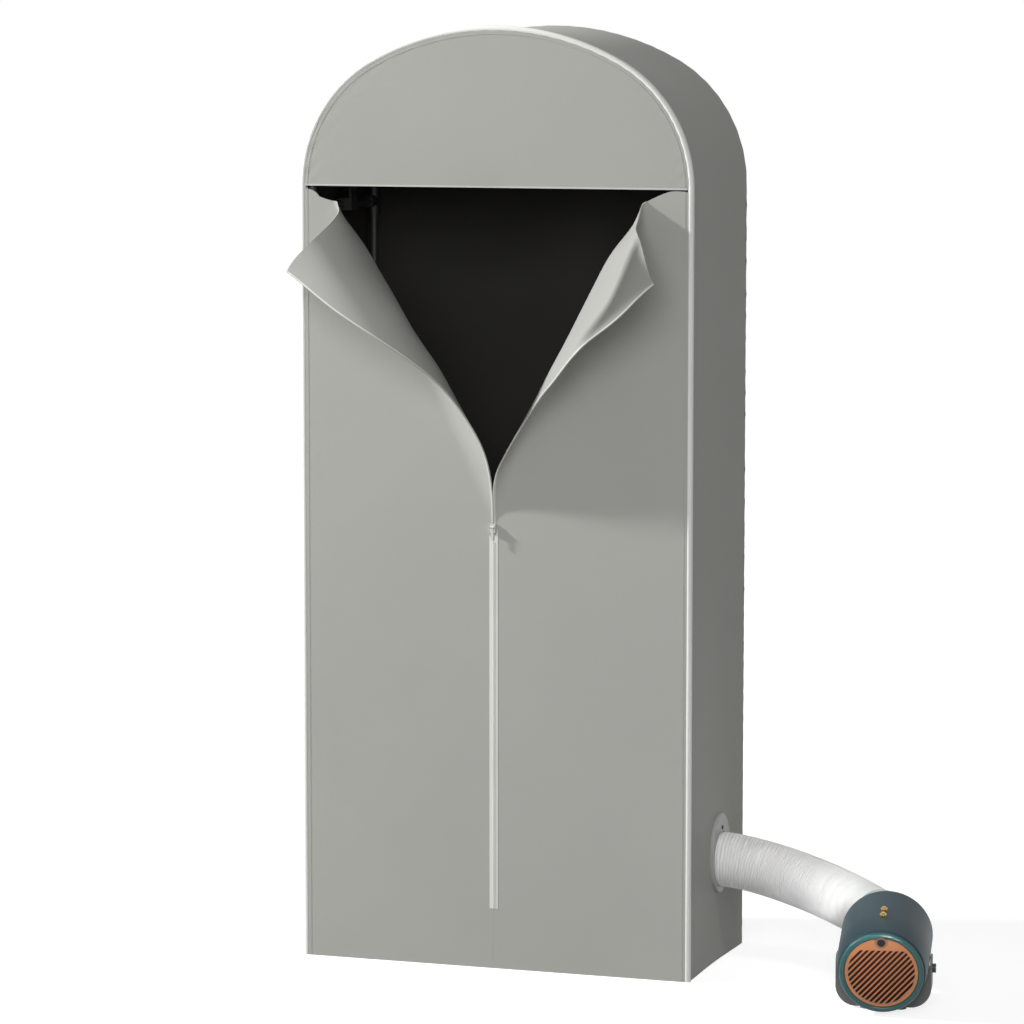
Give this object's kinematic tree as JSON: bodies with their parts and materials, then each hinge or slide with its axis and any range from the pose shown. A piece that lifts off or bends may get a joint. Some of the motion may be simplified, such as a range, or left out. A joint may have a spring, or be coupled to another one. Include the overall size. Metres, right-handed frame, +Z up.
{
  "type": "portable clothes dryer",
  "caption": "Arched fabric drying cabinet on a tube frame, with a zip front rolled open and a tilting floor blower feeding warm air through a ribbed hose.",
  "frame": {"origin": "on the floor under the middle of the cabinet", "axes": "+X to the right along the zip front, +Y to the back, +Z up"},
  "size_m": [1.2014, 0.5245, 1.6998],
  "materials": {
    "cover_cloth": "matt coated weave",
    "piping": "matt",
    "zip_tape": "woven tape",
    "zip_metal": "satin",
    "coated_tube": "powder coat",
    "steel": "satin",
    "fitting_plastic": "matt",
    "white_plastic": "matt",
    "housing_paint": "satin",
    "teal_metal": "metallic",
    "copper_metal": "metallic",
    "filter_mesh": "mesh",
    "black_plastic": "matt",
    "motor_steel": "zinc",
    "heater_aluminium": "plain",
    "brass": "polished",
    "grey_metal": "satin",
    "rubber": "matt"
  },
  "bodies": {
    "cabinet": {"air_hose": "white_plastic", "arch_tube_back": "coated_tube", "arch_tube_front": "coated_tube", "back_panel": "cover_cloth", "base_corner_fittings": "fitting_plastic", "base_depth_tube_left": "coated_tube", "base_depth_tube_right": "coated_tube", "base_tube_back": "coated_tube", "base_tube_front": "coated_tube", "floor_panel": "cover_cloth", "front_panel_left": "cover_cloth", "front_panel_right": "cover_cloth", "front_piping": "piping", "hanging_rail": "steel", "pivot_pins": "steel", "port_clamp_ring": "white_plastic", "port_flange": "white_plastic", "port_screw": "steel", "post_back_left": "coated_tube", "post_back_right": "coated_tube", "post_front_left": "coated_tube", "post_front_right": "coated_tube", "rail_brackets": "fitting_plastic", "ridge_fittings": "fitting_plastic", "ridge_tube": "coated_tube", "side_panel_left": "cover_cloth", "side_panel_right": "cover_cloth", "stand_cradle": "grey_metal", "stand_pads": "rubber", "top_depth_tube_left": "coated_tube", "top_depth_tube_right": "coated_tube", "top_panel": "cover_cloth", "top_tee_fittings": "fitting_plastic", "valance": "cover_cloth", "zip_chain": "zip_tape"},
    "zip_slider": {"zip_slider": "zip_metal"},
    "zip_pull": {"zip_pull": "zip_metal"},
    "blower": {"blower_housing": "housing_paint", "front_ring": "teal_metal", "intake_grille": "copper_metal", "grille_screw": "steel", "dust_filter": "filter_mesh", "fan_motor": "motor_steel", "motor_mount": "black_plastic", "heater_frame": "heater_aluminium", "heater_element": "heater_aluminium", "thermal_cutout": "black_plastic", "control_board": "black_plastic", "rear_cover": "housing_paint", "cover_screws": "steel", "mains_inlet": "black_plastic", "hose_clamp": "steel"},
    "fan": {"fan_impeller": "black_plastic", "motor_shaft": "steel"},
    "power_button": {"power_button": "brass"},
    "heat_button": {"heat_button": "brass"},
    "tilt_knob": {"tilt_knob": "black_plastic"}
  },
  "joints": [
    {"name": "zip_slide", "type": "slide", "parent": "cabinet", "child": "zip_slider", "axis": [0, 0, -1], "range_m": [0, 0.679]},
    {"name": "zip_pull_swing", "type": "hinge", "parent": "zip_slider", "child": "zip_pull", "pos_m": [0, -0.1823, 0.8065], "axis": [-1, 0, 0], "range_deg": [0, 150]},
    {"name": "blower_tilt", "type": "hinge", "parent": "cabinet", "child": "blower", "pos_m": [0.74164, -0.24168, 0.07048], "axis": [-0.9845, -0.1754, 0], "range_deg": [0, 18], "deforming": ["air_hose"]},
    {"name": "fan_spin", "type": "hinge", "parent": "blower", "child": "fan", "pos_m": [0.7425, -0.2465, 0.095], "axis": [-0.172, 0.9654, 0.1959], "continuous": true},
    {"name": "power_press", "type": "slide", "parent": "blower", "child": "power_button", "axis": [-0.0344, 0.1929, -0.9806], "range_m": [0, 0.0018], "stiffness_N_per_m": 400},
    {"name": "heat_press", "type": "slide", "parent": "blower", "child": "heat_button", "axis": [-0.0344, 0.1929, -0.9806], "range_m": [0, 0.0018], "stiffness_N_per_m": 400},
    {"name": "tilt_knob_turn", "type": "hinge", "parent": "cabinet", "child": "tilt_knob", "pos_m": [0.74164, -0.24168, 0.07048], "axis": [0.9845, 0.1754, 0], "range_deg": [0, 360]}
  ]
}
